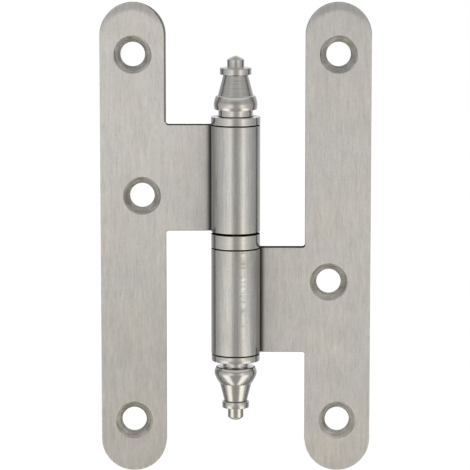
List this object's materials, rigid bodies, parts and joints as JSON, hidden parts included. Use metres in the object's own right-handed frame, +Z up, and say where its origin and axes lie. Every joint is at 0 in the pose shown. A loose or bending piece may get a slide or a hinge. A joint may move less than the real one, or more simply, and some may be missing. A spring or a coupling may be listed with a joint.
{
  "type": "paumelle hinge",
  "caption": "Lift-off door hinge with round-ended countersunk leaves, rolled knuckles on a fixed pin, a wear ring and turned finials.",
  "frame": {"origin": "on the pin's axis at half height, which is the centre of the bounding box", "axes": "+Z up along the pin; -Y out of the countersunk front faces; +X towards the frame leaf's blade"},
  "size_m": [0.08, 0.0146, 0.14],
  "materials": {
    "leaf_sheet": "satin, brushed along the pin",
    "pin_steel": "ground",
    "ring_steel": "turned, brushed",
    "finial_steel": "turned, half polished"
  },
  "bodies": {
    "frame_side": {"frame_leaf": "leaf_sheet", "hinge_pin": "pin_steel", "lower_finial": "finial_steel"},
    "ring_side": {"wear_ring": "ring_steel"},
    "door_side": {"door_leaf": "leaf_sheet", "upper_finial": "finial_steel"}
  },
  "joints": [
    {"name": "swing", "type": "hinge", "parent": "frame_side", "child": "ring_side", "pos_m": [0, 0, 0], "axis": [0, 0, 1], "range_deg": [-150, 180]},
    {"name": "lift_off", "type": "slide", "parent": "ring_side", "child": "door_side", "axis": [0, 0, 1], "range_m": [0, 0.026]}
  ]
}
